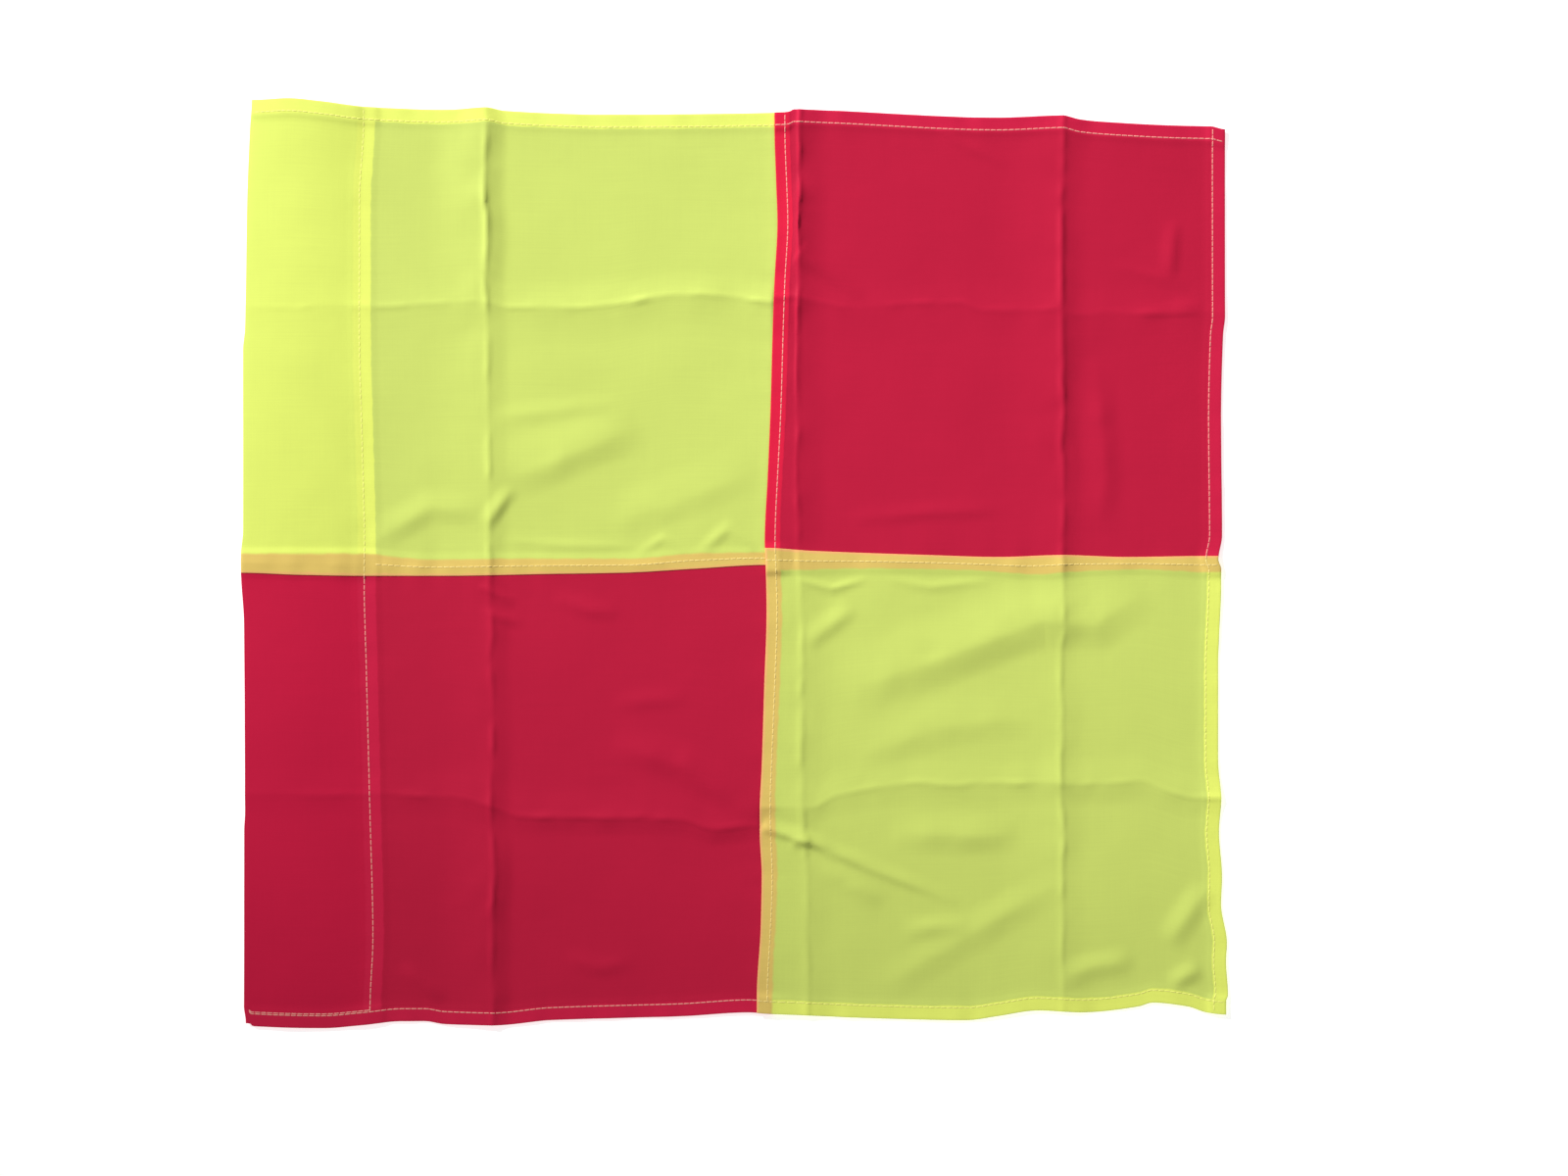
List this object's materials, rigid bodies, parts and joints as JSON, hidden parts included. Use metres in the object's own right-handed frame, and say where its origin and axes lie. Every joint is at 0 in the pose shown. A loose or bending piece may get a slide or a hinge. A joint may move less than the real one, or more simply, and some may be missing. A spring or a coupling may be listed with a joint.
{
  "type": "quartered signal flag",
  "caption": "Quartered cloth flag in yellow and red, with turned hems, lapped seams and a pole sleeve along the hoist, laid flat and folding along upright creases.",
  "frame": {"origin": "centre of the flat flag's bounding box, on the surface it lies on", "axes": "+X from the hoist (pole sleeve) to the fly, +Y up the flag towards the sleeve's open end, +Z out of the flag's face"},
  "size_m": [0.5, 0.471, 0.0056],
  "materials": {
    "yellow_cloth": "thin woven nylon, soft sheen",
    "red_cloth": "thin woven nylon, soft sheen",
    "thread": "spun sewing thread"
  },
  "bodies": {
    "hoist": {"yellow_pole_sleeve": "yellow_cloth", "red_pole_sleeve": "red_cloth", "yellow_upper_hoist_panel": "yellow_cloth", "red_lower_hoist_panel": "red_cloth", "sleeve_seam_thread": "thread", "sleeve_shut_thread": "thread", "top_hem_thread_hoist": "thread", "bottom_hem_thread_hoist": "thread", "cross_seam_thread_hoist": "thread"},
    "middle": {"yellow_upper_middle_panel": "yellow_cloth", "red_lower_middle_panel": "red_cloth", "red_upper_seam_panel": "red_cloth", "yellow_lower_seam_panel": "yellow_cloth", "long_seam_thread": "thread", "top_hem_thread_middle": "thread", "bottom_hem_thread_middle": "thread", "cross_seam_thread_middle": "thread", "cross_seam_thread_seam": "thread"},
    "fly": {"red_upper_fly_panel": "red_cloth", "yellow_lower_fly_panel": "yellow_cloth", "top_hem_thread_fly": "thread", "bottom_hem_thread_fly": "thread", "cross_seam_thread_fly": "thread"},
    "end": {"red_upper_end_panel": "red_cloth", "yellow_lower_end_panel": "yellow_cloth", "fly_hem_thread": "thread", "top_hem_thread_end": "thread", "bottom_hem_thread_end": "thread", "cross_seam_thread_end": "thread"}
  },
  "joints": [
    {"name": "hoist_fold", "type": "hinge", "parent": "middle", "child": "hoist", "pos_m": [-0.1245, 0, 0.00395], "axis": [0, 1, 0], "range_deg": [0, 179.5]},
    {"name": "fly_fold", "type": "hinge", "parent": "middle", "child": "fly", "pos_m": [0.035, 0, 0.00715], "axis": [0, -1, 0], "range_deg": [0, 179.5]},
    {"name": "end_fold", "type": "hinge", "parent": "fly", "child": "end", "pos_m": [0.168, 0, 0.0021], "axis": [0, -1, 0], "range_deg": [0, 179.5]}
  ]
}
